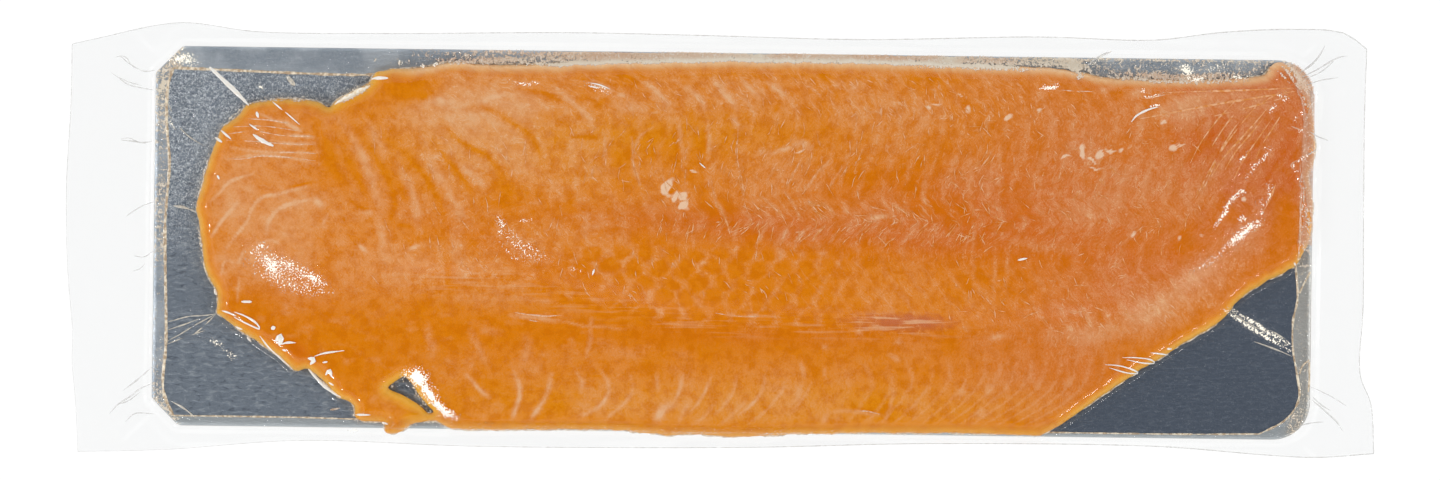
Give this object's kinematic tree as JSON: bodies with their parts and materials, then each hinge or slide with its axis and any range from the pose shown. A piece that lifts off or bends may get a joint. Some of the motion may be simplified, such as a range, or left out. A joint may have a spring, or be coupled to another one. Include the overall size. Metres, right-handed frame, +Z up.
{
  "type": "pack of smoked salmon",
  "caption": "Whole side of smoked salmon on a long flat silvery board, vacuum-packed in a clear bag with a wide flat welded margin.",
  "frame": {"origin": "under the middle of the bag, on the surface that the pack lies on", "axes": "+X along the board, from the narrow left lobe of the fish to its broad cut end; +Z up, out of the flesh"},
  "size_m": [0.636, 0.213, 0.0192],
  "materials": {
    "bag": "clear gloss film",
    "board": "satin silver-grey foil face on card",
    "salmon": "moist orange flesh"
  },
  "bodies": {
    "root": {"bag": "bag", "board": "board", "salmon": "salmon"}
  },
  "joints": []
}
